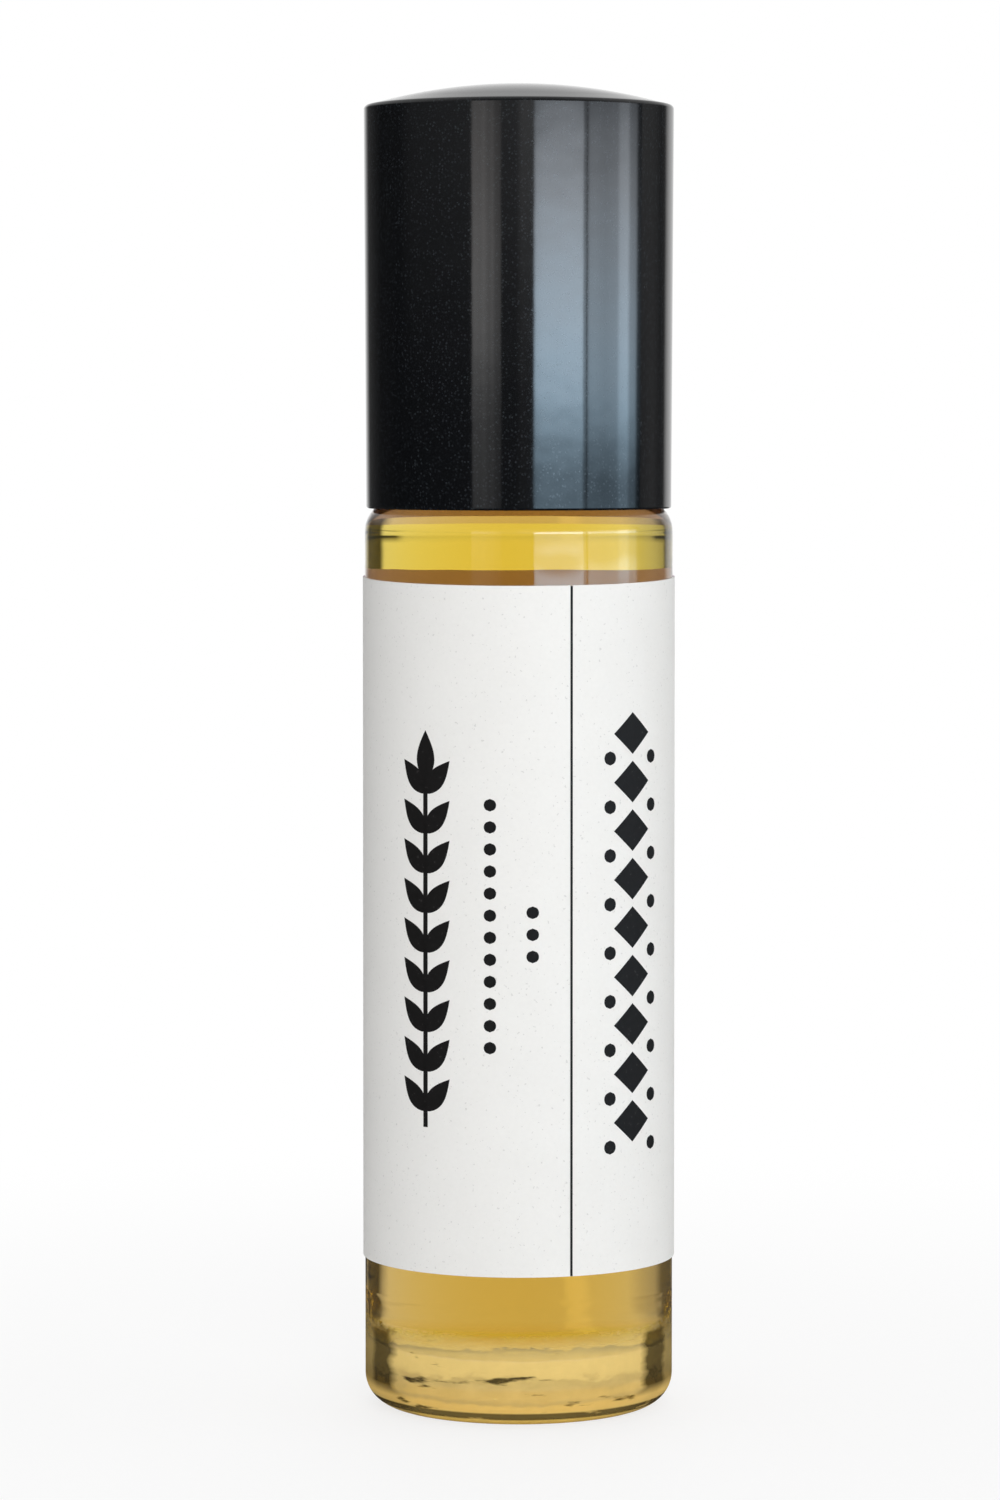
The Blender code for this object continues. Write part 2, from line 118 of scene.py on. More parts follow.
class Signal:
    """What a shader node gives out. Sums and products with one add Math nodes."""

    def __init__(self, tree, socket=None):
        self.tree = tree
        self.socket = socket

    def add(self, kind, inputs=(), out=0, stops=(), **settings):
        """Adds a node of a kind, with its settings, its ramp's stops and its inputs."""
        node = self.tree.nodes.new(kind)
        for name, value in settings.items():
            setattr(node, name, value)
        if stops:
            ramp = node.color_ramp.elements
            ramp.remove(ramp[1])
            ramp[0].position, ramp[0].color = stops[0][0], (*stops[0][1], 1)
            for place, colour in stops[1:]:
                ramp.new(place).color = (*colour, 1)
        for name, value in dict(inputs).items():
            if isinstance(value, Signal):
                self.tree.links.new(value.socket, node.inputs[name])
            else:
                node.inputs[name].default_value = value
        return Signal(self.tree, node.outputs[out])

    def also(self, out):
        """Another output of the same node."""
        return Signal(self.tree, self.socket.node.outputs[out])

    def feed(self, node, name):
        self.tree.links.new(self.socket, node.inputs[name])

    def math(self, operation, *values, clamp=False):
        inputs = dict(enumerate(values))
        return self.add("ShaderNodeMath", inputs, operation=operation, use_clamp=clamp)

    def clipped(self, slope):
        """This times a slope, kept between 0 and 1."""
        return self.math("MULTIPLY", self, slope, clamp=True)

    def blend(self, share, first, second):
        """A colour: the first where the share is 0, the second where it is 1."""
        return self.add(
            "ShaderNodeMix",
            {"Factor": share, "A": first, "B": second},
            out="Result",
            data_type="RGBA",
        )

    def __add__(self, other):
        return self.math("ADD", self, other)

    def __sub__(self, other):
        return self.math("SUBTRACT", self, other)

    def __rsub__(self, other):
        return self.math("SUBTRACT", other, self)

    def __mul__(self, other):
        return self.math("MULTIPLY", self, other)

    def __truediv__(self, other):
        return self.math("DIVIDE", self, other)

    def __gt__(self, other):
        return self.math("GREATER_THAN", self, other)

    __radd__ = __add__
    __rmul__ = __mul__


def round_the_room(start, across, back, lights):
    """A light by azimuth, read from a way that leads across (to the right) and back."""
    turn = start.math("ARCTAN2", across, 0 - back) / math.tau + 0.5
    stops = [((azimuth + 180) / 360, (light,) * 3) for azimuth, light in lights]
    return start.add("ShaderNodeValToRGB", {"Fac": turn}, stops=stops)


def studio_world():
    world = bpy.data.worlds.new("white_room")
    bpy.context.scene.world = world
    world.use_nodes = True
    start = Signal(world.node_tree)
    way = start.add("ShaderNodeTexCoord", out="Generated")
    across = start.add("ShaderNodeSeparateXYZ", {"Vector": way}, out="X")
    back = across.also("Y")
    height = across.also("Z")
    overhead = (height - OVERHEAD_FROM).clipped(4.0)
    dim_front = back.clipped(-FRONT_DIMMING)
    climb = start.math("MAXIMUM", HORIZON_LIGHT + height * HORIZON_CLIMB, HORIZON_RANGE[0])
    climb = start.math("MINIMUM", climb, HORIZON_RANGE[1])
    facing = (0.5 - back).clipped(2.0)
    mirrored = round_the_room(start, across, back, MIRRORED_ROOM) * (1 + (climb - 1) * facing)
    lifted = mirrored + (ROOM_OVERHEAD - dim_front - mirrored) * overhead
    raised = (height - RAISED_FROM).clipped(20.0)
    level = round_the_room(start, across, back, ROOM_THROUGH_GLASS)
    above = round_the_room(start, across, back, FOOT_THROUGH_GLASS)
    seen_through = level + (above - level) * raised
    path = start.add("ShaderNodeLightPath", out="Is Camera Ray")
    through = path.also("Transmission Depth") > PAST_ONE_SURFACE
    room = lifted + (seen_through - lifted) * through
    glow = world.node_tree.nodes["Background"]
    glow.inputs["Color"].default_value = (1, 1, 1, 1)
    (room + (1 - room) * path).feed(glow, "Strength")


def new_finish(name):
    """A material, the start of its node tree, and its Principled shader."""
    material = bpy.data.materials.new(name)
    material.use_nodes = True
    tree = material.node_tree
    return material, Signal(tree), tree.nodes["Principled BSDF"]


def table_finish():
    """Pale and matt. Glass shows it as light, by the way there from the bottle's back."""
    material, start, shader = new_finish("pale_table")
    shader.inputs["Base Color"].default_value = TABLE_COLOUR
    shader.inputs["Roughness"].default_value = 0.7
    place = start.add("ShaderNodeTexCoord", out="Object")
    far = start.add("ShaderNodeVectorMath", {0: place}, out="Value", operation="LENGTH")
    shadow = start.add(
        "ShaderNodeMapRange",
        {"Value": far, 1: SHADOW_FADE_START, 2: SHADOW_FADE_END, 3: SHADOW_SHARE, 4: 0.0},
        interpolation_type="SMOOTHSTEP",
    )
    across = start.add("ShaderNodeSeparateXYZ", {"Vector": place}, out="X")
    back = across.also("Y") - BOTTLE_BACK
    beyond = (far - NEAR_THE_FOOT).clipped(100.0)
    near = round_the_room(start, across, back, FOOT_THROUGH_GLASS)
    farther = round_the_room(start, across, back, TABLE_THROUGH_GLASS)
    seen_through = near + (farther - near) * beyond
    path = start.add("ShaderNodeLightPath", out="Is Camera Ray")
    through = path.also("Transmission Depth") > PAST_ONE_SURFACE
    through_oil = path.also("Transmission Depth") > PAST_FOUR_SURFACES
    mirrored = path.also("Is Glossy Ray") * (1 - through)
    shown = path.math("MAXIMUM", path + mirrored, through)
    strength = 1 + (seen_through - 1) * through + (TABLE_IN_GLOSS - 1) * mirrored
    glow = start.blend(through_oil * beyond, (1, 1, 1, 1), TABLE_GLOW_IN_OIL)
    white = start.add("ShaderNodeEmission", {"Color": glow, "Strength": strength})
    lit = Signal(start.tree, shader.outputs[0])
    share = shown * (1 - shadow * path)
    both = start.add("ShaderNodeMixShader", {0: share, 1: lit, 2: white})
    both.feed(start.tree.nodes["Material Output"], "Surface")
    return material


studio_world()
bpy.ops.object.select_all(action="DESELECT")
bpy.ops.mesh.primitive_circle_add(
    vertices=TABLE_SIDES, radius=TABLE_RADIUS, fill_type="NGON", location=(0, 0, -TABLE_DROP)
)
table = bpy.context.object
table.name = "pale_table"
table.data.materials.append(table_finish())

# Windows
# Tall flat panels, with folds in their light, that only gloss shows: two right of the camera with a
# bar between them, and a weak one left of it. Each is brightest at the height of the cap, and
# daylight is bluer lower down.
PANEL_DISTANCE = 0.3
PANEL_FOOT = 0.002
PANEL_TOP = 0.122
CREASES_ACROSS = 30.0
BLUER_BELOW = 0.48
DAYLIGHT_BAND = (
    (0.0, 0.02), (0.28, 0.1), (0.33, 0.6), (0.365, 0.55), (0.39, 0.22), (0.44, 0.2), (0.468, 0.42),
    (0.498, 0.84), (0.538, 0.97), (0.578, 1.0), (0.66, 0.82), (0.73, 0.6), (0.785, 0.38),
    (0.82, 0.15), (0.9, 0.05), (1.0, 0.02),
)
LAMPLIGHT_BAND = (
    (0.0, 0.02), (0.36, 0.06), (0.44, 0.2), (0.47, 0.17), (0.5, 0.2), (0.53, 0.62), (0.58, 0.95),
    (0.66, 1.0), (0.73, 0.78), (0.785, 0.64), (0.82, 0.45), (0.9, 0.1), (1.0, 0.02),
)
DAYLIGHT = ((0.7, 1.0, 1.25, 1), (0.93, 1.0, 1.09, 1))
LAMPLIGHT = ((1.0, 1.0, 1.0, 1), (1.04, 1.0, 0.98, 1))
# Each has a name, the azimuths of its two sides, a strength, the share of light that its dark ends
# keep, its colours low down and high up, and light by height and across.
WINDOWS = (
    (
        "window_right", 10.6, 50.4, 10.0, 0.0, DAYLIGHT, DAYLIGHT_BAND,
        ((0.0, 0.45), (0.05, 0.9), (0.2, 0.97), (0.92, 1.0), (0.945, 0.42), (1.0, 0.38)),
    ),
    (
        "window_far_right", 51.2, 102.0, 5.1, 0.04, DAYLIGHT, DAYLIGHT_BAND,
        (
            (0.0, 0.7), (0.04, 1.15), (0.12, 1.15), (0.3, 1.0), (0.5, 1.04), (0.56, 1.5),
            (0.69, 1.5), (0.75, 0.86), (0.86, 0.68), (0.92, 0.12), (1.0, 0.05),
        ),
    ),
    (
        "window_left", -34.7, -13.0, 1.95, 0.18, LAMPLIGHT, LAMPLIGHT_BAND,
        (
            (0.0, 0.9), (0.1, 1.1), (0.3, 1.0), (0.42, 1.15), (0.5, 0.95), (0.6, 0.8), (0.7, 0.95),
            (0.8, 0.62), (1.0, 0.5),
        ),
    ),
)


def window_finish(name, strength, rim_share, colours, heights, folds):
    material, start, shader = new_finish(name)
    start.tree.nodes.remove(shader)
    flat = start.add("ShaderNodeTexCoord", out="UV")
    across = start.add("ShaderNodeSeparateXYZ", {"Vector": flat}, out="X")
    up = across.also("Y")
    stops = [(share, (rim_share + (1 - rim_share) * light,) * 3) for share, light in heights]
    band = start.add("ShaderNodeValToRGB", {"Fac": up}, stops=stops)
    stops = [(share, (light / 2,) * 3) for share, light in folds]
    fold = start.add("ShaderNodeValToRGB", {"Fac": across}, stops=stops)
    crease = start.add(
        "ShaderNodeTexNoise", {"W": across * CREASES_ACROSS, "Detail": 2.0}, noise_dimensions="1D"
    )
    high = (up - BLUER_BELOW).clipped(4.0)
    colour = start.blend(high, *colours)
    glow = strength * band * fold * (1.6 + 0.8 * crease)
    light = start.add("ShaderNodeEmission", {"Color": colour, "Strength": glow})
    light.feed(start.tree.nodes["Material Output"], "Surface")
    return material


for name, start_degrees, end_degrees, strength, rim_share, colours, heights, folds in WINDOWS:
    sides = []
    for degrees in (start_degrees, end_degrees):
        around = math.radians(degrees)
        sides.append(Vector((math.sin(around), -math.cos(around), 0)) * PANEL_DISTANCE)
    bpy.ops.object.select_all(action="DESELECT")
    bpy.ops.mesh.primitive_plane_add(size=1)
    panel = bpy.context.object
    panel.name = name
    corners = [(*side.xy, height) for height in (PANEL_FOOT, PANEL_TOP) for side in sides]
    for vertex, corner in zip(panel.data.vertices, corners):
        vertex.co = corner
    panel.data.materials.append(window_finish(name, strength, rim_share, colours, heights, folds))
    panel.visible_camera = False
    panel.visible_diffuse = False
    panel.visible_transmission = False

# Lamps
# Soft square lamps that light the paper, the plastics and the table, aimed near the middle of the
# closed bottle. Gloss and glass don't show them. Each has a name, a place, a size and watts.
LAMP_AIM = Vector((0, 0, 0.04))
LAMPS = (
    ("lamp_front", (0.14, -0.75, 0.3), 0.4, 3.8),
    ("lamp_right", (0.7, -0.1, 0.35), 0.5, 0.3),
    ("lamp_behind", (0.1, 0.75, 0.3), 0.5, 0.95),
    ("lamp_over", (0.0, 0.0, 0.8), 0.6, 0.3),
)

for name, place, size, watts in LAMPS:
    bpy.ops.object.light_add(type="AREA", location=place)
    lamp = bpy.context.object
    lamp.name = name
    aim = LAMP_AIM - Vector(place)
    lamp.rotation_euler = aim.to_track_quat("-Z", "Y").to_euler()
    lamp.data.size = size
    lamp.data.energy = watts
    lamp.visible_camera = False
    lamp.visible_glossy = False
    lamp.visible_transmission = False

# Glass bottle
# Clear pressed glass: a round-cornered floor over a shallow push-up, a wall of 2.2 mm, a round
# shoulder and a neck. One half-round thread winds round the neck for the cap.
glass_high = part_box("glass_bottle")[1]
BOTTLE_RADIUS = glass_high.x
NECK_TOP = glass_high.z
NECK_HEIGHT = 0.0125
SHOULDER_HEIGHT = NECK_TOP - NECK_HEIGHT
SHOULDER_ROUND = 0.0021
SHOULDER_WALL = 0.0014
BOTTLE_WALL = 0.0022
BOTTLE_BORE = BOTTLE_RADIUS - BOTTLE_WALL
GLASS_FLOOR = 0.0040
FLOOR_ROUND = 0.0006
GLASS_CEILING = SHOULDER_HEIGHT - SHOULDER_WALL
CEILING_ROUND = 0.00185
NECK_RADIUS = 0.00715
NECK_WALL = 0.0019
NECK_BORE = NECK_RADIUS - NECK_WALL
THROAT_ROUND = 0.0006
MOUTH_ROUND = 0.0004
NECK_ROOT_ROUND = 0.0003
BASE_ROUND = 0.0020
RING_INSIDE = 0.0062
RING_ROUND = 0.0002
PUSH_UP = 0.0006
PUSH_UP_STEPS = 8
GLASS_IOR = 1.52
GLASS_COLOUR = (0.985, 0.992, 0.988, 1)
# Painted light on the foot: an amber glow for light through the oil, and near-black painted shade.
FOOT_PAINTED_OIL_GLOW = (1.0, 0.54, 0.05, 1)
FOOT_SCATTER_PAINTED_GLOW = (1.0, 0.72, 0.25, 1)
FOOT_SCATTER_PAINTED_GLOW_HIGH = (1.0, 0.86, 0.5, 1)
FOOT_PAINTED_SHADE_COLOUR = (0.03, 0.02, 0.004, 1)
FOOT_TOP = 0.0060
FOOT_FADE = 0.0016
FOOT_TOP_INSIDE = 0.0046
FOOT_PAINTED_GLOW_TOP = BASE_ROUND + 0.0006
FOOT_PALE_FROM = 0.0044
FOOT_SIDES_FROM = 0.0014
# Height and half width of a painted dark line of shade round the foot.
RIM_LINE_HEIGHT = 0.0007
RIM_LINE_HALF = 0.0003
OIL_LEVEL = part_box("perfume_oil")[1].z
OIL_IOR = 1.47
THREAD_LEAD = 0.003175
THREAD_TOP = NECK_TOP - 0.0020
THREAD_FOOT = SHOULDER_HEIGHT + 0.00415
GLASS_THREAD_DEPTH = 0.00075
THREAD_RUN_OUT = math.radians(40)
THREAD_END_FULLNESS = 0.3
THREAD_SIDES = 16
THREAD_STEPS_A_TURN = 64
ROUND_STEPS = 192
CORNER_STEPS = 12
DOUBLES_APART = 0.000001
SHARP_FROM = math.radians(30)
FACE_MARGIN = 0.0001


def select_near(mesh, *points):
    """Selects the vertex nearest each point, in edit mode, and nothing else."""
    shape = bmesh.from_edit_mesh(mesh)
    for vertex in shape.verts:
        vertex.select = False
    for point in points:
        min(shape.verts, key=lambda vertex: (vertex.co - point).length).select = True
    shape.select_flush_mode()
    bmesh.update_edit_mesh(mesh)


def turned(name, corners, ring=False, angle=math.tau):
    """A piece turned on the bottle's axis from half its section, drawn corner by corner.

    A corner is a radius, a height and the radius of its rounding. A section that isn't a ring
    starts and ends on the axis.
    """
    bpy.ops.object.select_all(action="DESELECT")
    bpy.ops.mesh.primitive_plane_add(size=2 * BOTTLE_RADIUS)
    piece = bpy.context.object
    piece.name = piece.data.name = name
    bpy.ops.object.mode_set(mode="EDIT")
    bpy.ops.mesh.select_mode(type="VERT")
    bpy.ops.mesh.merge(type="CENTER")
    points = [Vector((radius, 0, height)) for radius, height, _ in corners]
    bpy.ops.transform.translate(value=points[0])
    for start, end in zip(points, points[1:]):
        bpy.ops.mesh.extrude_region_move(TRANSFORM_OT_translate={"value": end - start})
    if ring:
        select_near(piece.data, points[0], points[-1])
        bpy.ops.mesh.edge_face_add()
    for i, (point, (_, _, rounding)) in enumerate(zip(points, corners)):
        if rounding:
            before = (points[i - 1] - point).normalized()
            after = (points[(i + 1) % len(points)] - point).normalized()
            opening = before.angle(after)
            select_near(piece.data, point)
            bpy.ops.mesh.bevel(
                offset=rounding / math.tan(opening / 2),
                segments=CORNER_STEPS,
                profile=0.5,
                affect="VERTICES",
            )
    bpy.ops.mesh.select_all(action="SELECT")
    bpy.ops.mesh.spin(steps=ROUND_STEPS, angle=angle, center=(0, 0, 0), axis=(0, 0, 1))
    bpy.ops.mesh.select_all(action="SELECT")
    bpy.ops.mesh.remove_doubles(threshold=DOUBLES_APART)
    bpy.ops.mesh.normals_make_consistent(inside=False)
    bpy.ops.object.mode_set(mode="OBJECT")
    return piece


def shade(piece):
    """Smooth between sharp edges, and straight along the wide faces beside a rounding."""
    bpy.ops.object.select_all(action="DESELECT")
    piece.select_set(True)
    bpy.context.view_layer.objects.active = piece
    bpy.ops.object.shade_smooth_by_angle(angle=SHARP_FROM)
    normals = piece.modifiers.new("normals", "WEIGHTED_NORMAL")
    normals.keep_sharp = True
    bpy.ops.object.modifier_apply(modifier=normals.name)


def thread(name, wall_radius, depth, foot, top, sink):
    """A half-round thread, wound from a small circle. Both its ends sink into the wall.

    sink is -1 where the wall is inside the thread, and 1 where it is outside.
    """
    turns = (top - foot) / THREAD_LEAD
    bpy.ops.object.select_all(action="DESELECT")
    bpy.ops.mesh.primitive_circle_add(
        vertices=THREAD_SIDES,
        radius=depth,
        fill_type="NOTHING",
        location=(wall_radius, 0, foot),
        rotation=(math.pi / 2, 0, 0),
    )
    winding = bpy.context.object
    winding.name = name
    bpy.ops.object.transform_apply(location=True, rotation=True, scale=True)
    screw = winding.modifiers.new("wind", "SCREW")
    screw.angle = math.tau * turns
    screw.screw_offset = top - foot
    screw.steps = screw.render_steps = round(THREAD_STEPS_A_TURN * turns)
    bpy.ops.object.modifier_apply(modifier=screw.name)
    bpy.ops.object.mode_set(mode="EDIT")
    bpy.ops.mesh.select_all(action="SELECT")
    bpy.ops.mesh.fill_holes(sides=0)
    bpy.ops.mesh.normals_make_consistent(inside=False)
    bpy.ops.object.mode_set(mode="OBJECT")
    run_out = THREAD_RUN_OUT / (math.tau * turns)
    for vertex in winding.data.vertices:
        angle = math.atan2(vertex.co.y, vertex.co.x) % math.tau
        lap = round((vertex.co.z - foot) / THREAD_LEAD - angle / math.tau)
        share = (angle / math.tau + lap) / turns
        grown = min(1, max(0, min(share, 1 - share)) / run_out)
        fullness = THREAD_END_FULLNESS + (1 - THREAD_END_FULLNESS) * grown
        middle_radius = wall_radius + sink * depth * (1 - fullness)
        middle_height = foot + THREAD_LEAD * (angle / math.tau + lap)
        radius = middle_radius + (math.hypot(vertex.co.x, vertex.co.y) - wall_radius) * fullness
        vertex.co.x = radius * math.cos(angle)
        vertex.co.y = radius * math.sin(angle)
        vertex.co.z = middle_height + (vertex.co.z - middle_height) * fullness
    return winding


def join_by_boolean(piece, other, operation):
    boolean = piece.modifiers.new(other.name, "BOOLEAN")
    boolean.operation = operation
    boolean.object = other
    boolean.solver = "EXACT"
    bpy.ops.object.select_all(action="DESELECT")
    bpy.context.view_layer.objects.active = piece
    piece.select_set(True)
    bpy.ops.object.modifier_apply(modifier=boolean.name)
    bpy.data.objects.remove(other, do_unlink=True)


def paint(piece, *finishes):
    """Gives a piece its finishes. The first is on every face until a face is told otherwise."""
    piece.data.materials.clear()
    for finish in finishes:
        piece.data.materials.append(finish)


def glass_finish(name, ior):
    """Clear glass with the faint waves of pressing."""
    material, start, shader = new_finish(name)
    shader.inputs["Roughness"].default_value = 0.0
    shader.inputs["IOR"].default_value = ior
    shader.inputs["Transmission Weight"].default_value = 1.0
    shader.inputs["Base Color"].default_value = GLASS_COLOUR
    place = start.add("ShaderNodeTexCoord", out="Object")
    ripple = start.add("ShaderNodeTexNoise", {"Vector": place, "Scale": 160.0, "Detail": 2.0})
    bump = start.add("ShaderNodeBump", {"Height": ripple, "Strength": 0.12, "Distance": 0.0003})
    bump.feed(shader, "Normal")
    return material


def foot_finish_with_painted_light():
    """The stippled foot: glass that scatters over half the light, and light painted in its colour.

    Its amber is a painted glow for light that came through the oil. Its dark streaks and rim line
    are painted shade, and painted shade darkens the thick glass where it turns away from the eye.
    The stipple fades out up the wall.
    """
    material, start, shader = new_finish("stippled_glass_foot_with_painted_light")
    shader.inputs["IOR"].default_value = GLASS_IOR
    shader.inputs["Transmission Weight"].default_value = 1.0
    place = start.add("ShaderNodeTexCoord", out="Object")
    height = start.add("ShaderNodeSeparateXYZ", {"Vector": place}, out="Z")
    flat = start.add("ShaderNodeMapping", {"Vector": place, "Scale": (1.0, 1.0, 5.0)})
    # Noise that breaks the painted shade up into streaks and ragged edges.
    painted_shade_noise = start.add("ShaderNodeTexNoise", {"Vector": flat, "Scale": 260.0, "Detail": 4.0})
    stipple = start.add("ShaderNodeTexNoise", {"Vector": place, "Scale": 700.0, "Detail": 2.0})
    rim = (RIM_LINE_HALF - start.math("ABSOLUTE", height - RIM_LINE_HEIGHT)).clipped(9000.0)
    painted_shade_patch = (painted_shade_noise - 0.63).clipped(14.0)
    painted_shade_rim = (painted_shade_noise - 0.32).clipped(8.0) * rim
    # Painted shade at the sides, where the glass turns away from the eye, ragged from the noise.
    turned_away = start.add("ShaderNodeLayerWeight", {"Blend": 0.5}, out="Facing")
    turned_away += (painted_shade_noise - 0.5) * 0.15
    beside = (turned_away - 0.40).clipped(14.0)
    brink = (turned_away - 0.64).clipped(14.0)
    above = (height - FOOT_SIDES_FROM).clipped(1500.0)
    fade = (FOOT_TOP - height).clipped(1 / FOOT_FADE)
    below = (fade + (painted_shade_noise - 0.5) * 0.6).clipped(3.0)
    painted_shade_sides = beside * (1 - 0.35 * brink) * above * below
    # All painted shade: the streaks and rim line fade up the wall, and the dark sides join them.
    painted_shade_streaks = start.math("MAXIMUM", painted_shade_patch, painted_shade_rim) * fade
    marks = start.math("MAXIMUM", painted_shade_streaks, painted_shade_sides) * 0.92
    # An amber glow painted into the glass of the lowest band, for light that came through the oil.
    painted_glow_share = (FOOT_PAINTED_GLOW_TOP - height).clipped(4000.0)
    amber = start.blend(painted_glow_share, GLASS_COLOUR, FOOT_PAINTED_OIL_GLOW)
    # The scatter is painted amber too, a glow for light through the oil, paler higher up.
    high = (height - FOOT_PALE_FROM).clipped(800.0)
    scatter_painted_glow = start.blend(high, FOOT_SCATTER_PAINTED_GLOW, FOOT_SCATTER_PAINTED_GLOW_HIGH)
    # Both colours go near black where painted shade falls.
    clear_colour = start.blend(marks, amber, FOOT_PAINTED_SHADE_COLOUR)
    scatter_colour = start.blend(marks, scatter_painted_glow, FOOT_PAINTED_SHADE_COLOUR)
    clear_colour.feed(shader, "Base Color")
    (fade * 0.12).feed(shader, "Roughness")
    bump = start.add("ShaderNodeBump", {"Height": stipple, "Strength": 0.3, "Distance": 0.0003})
    bump.feed(shader, "Normal")
    clear = Signal(start.tree, shader.outputs[0])
    outside = start.add("ShaderNodeBsdfDiffuse", {"Color": scatter_colour})
    inside = start.add("ShaderNodeBsdfTranslucent", {"Color": scatter_colour})
    back = start.add("ShaderNodeNewGeometry", out="Backfacing")
    scatter = start.add("ShaderNodeMixShader", {0: back, 1: outside, 2: inside})
    fade_inside = (FOOT_TOP_INSIDE - height).clipped(1 / FOOT_FADE)
    share = (0.5 + 0.2 * stipple) * (fade + (fade_inside - fade) * back)
    both = start.add("ShaderNodeMixShader", {0: share, 1: clear, 2: scatter})
    both.feed(start.tree.nodes["Material Output"], "Surface")
    return material


push_up = []
for i in range(1, PUSH_UP_STEPS):
    share = 1 - i / PUSH_UP_STEPS
    push_up.append((RING_INSIDE * share, PUSH_UP * (1 - share**2), 0))
bottle = turned(
    "glass_body",
    [
        (0, GLASS_FLOOR, 0),
        (BOTTLE_BORE, GLASS_FLOOR, FLOOR_ROUND),
        (BOTTLE_BORE, GLASS_CEILING, CEILING_ROUND),
        (NECK_BORE, GLASS_CEILING, THROAT_ROUND),
        (NECK_BORE, NECK_TOP, MOUTH_ROUND),
        (NECK_RADIUS, NECK_TOP, MOUTH_ROUND),
        (NECK_RADIUS, SHOULDER_HEIGHT, NECK_ROOT_ROUND),
        (BOTTLE_RADIUS, SHOULDER_HEIGHT, SHOULDER_ROUND),
        (BOTTLE_RADIUS, FOOT_TOP, 0),
        (BOTTLE_RADIUS, 0, BASE_ROUND),
        (RING_INSIDE, 0, RING_ROUND),
        *push_up,
        (0, PUSH_UP, 0),
    ],
)
join_by_boolean(
    bottle,
    thread("neck_thread", NECK_RADIUS, GLASS_THREAD_DEPTH, THREAD_FOOT, THREAD_TOP, -1),
    "UNION",
)
shade(bottle)
paint(
    bottle,
    glass_finish("clear_glass", GLASS_IOR),
    glass_finish("clear_glass_under_oil", GLASS_IOR / OIL_IOR),
    foot_finish_with_painted_light(),
)
for face in bottle.data.polygons:
    place = face.center
    radius = math.hypot(place.x, place.y)
    if PUSH_UP < place.z < OIL_LEVEL and radius < BOTTLE_BORE + FACE_MARGIN:
        face.material_index = 1
    elif place.z < FOOT_TOP and radius > RING_INSIDE - FACE_MARGIN:
        face.material_index = 2
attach(bottle, "bottle")
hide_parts("glass_bottle")

# Perfume oil
# Clear amber oil that wets the glass from its floor up into the foot of the neck, where its skin
# curls up at the rim. The glass under it bends light by what glass and oil differ, and the oil
# tints it on its way.
OIL_GAP = 0.00001
OIL_COLOUR = (0.93, 0.80, 0.03, 1)
OIL_DENSITY = 200.0
MENISCUS_RISE = 0.0005
MENISCUS_ROUND = 0.0012


def oil_finish(name, ior):
    material, start, shader = new_finish(name)
    shader.inputs["Base Color"].default_value = (1, 1, 1, 1)
    shader.inputs["Roughness"].default_value = 0.0
    shader.inputs["IOR"].default_value = ior
    shader.inputs["Transmission Weight"].default_value = 1.0
    amber = start.add("ShaderNodeVolumeAbsorption", {"Color": OIL_COLOUR, "Density": OIL_DENSITY})
    amber.feed(start.tree.nodes["Material Output"], "Volume")
    return material


oil_bore = BOTTLE_BORE - OIL_GAP
oil_throat = NECK_BORE - OIL_GAP
oil_ceiling = GLASS_CEILING - OIL_GAP
oil = turned(
    "oil_fill",
    [
        (0, OIL_LEVEL - MENISCUS_RISE, 0),
        (oil_throat - MENISCUS_ROUND, OIL_LEVEL - MENISCUS_RISE, MENISCUS_ROUND),
        (oil_throat, OIL_LEVEL, 0),
        (oil_throat, oil_ceiling, THROAT_ROUND + OIL_GAP),
        (oil_bore, oil_ceiling, CEILING_ROUND - OIL_GAP),
        (oil_bore, GLASS_FLOOR + OIL_GAP, FLOOR_ROUND - OIL_GAP),
        (0, GLASS_FLOOR + OIL_GAP, 0),
    ],
)
shade(oil)
paint(oil, oil_finish("amber_oil", 1.0), oil_finish("amber_oil_skin", OIL_IOR))
for face in oil.data.polygons:
    if face.normal.z > 0.1 and face.center.z > OIL_LEVEL - 2 * MENISCUS_RISE:
        face.material_index = 1
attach(oil, "bottle")
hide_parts("perfume_oil")

# Label
# Matt uncoated paper with fine flecks, wrapped round the glass with its ends 2.8 mm apart behind,
# right of the middle. Its glue wets the glass, and light from behind glows through a little.
label_low, label_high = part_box("label")
GLUE_OVERLAP = 0.00001
LABEL_MARGIN = 0.00001
LABEL_INSIDE = BOTTLE_RADIUS - GLUE_OVERLAP
LABEL_OUTSIDE = label_high.x - LABEL_MARGIN
LABEL_FOOT = label_low.z
LABEL_TOP = label_high.z
LABEL_GAP = 0.0028
LABEL_GAP_FROM_BACK = math.radians(50)
LABEL_RISE_BEHIND = 0.0006
PAPER_LIGHTNESS = 0.93
PAPER_GLOW = (0.90, 0.64, 0.95, 1)
PAPER_GLOW_SHARE = 0.75
GLUE_COVER = 0.25


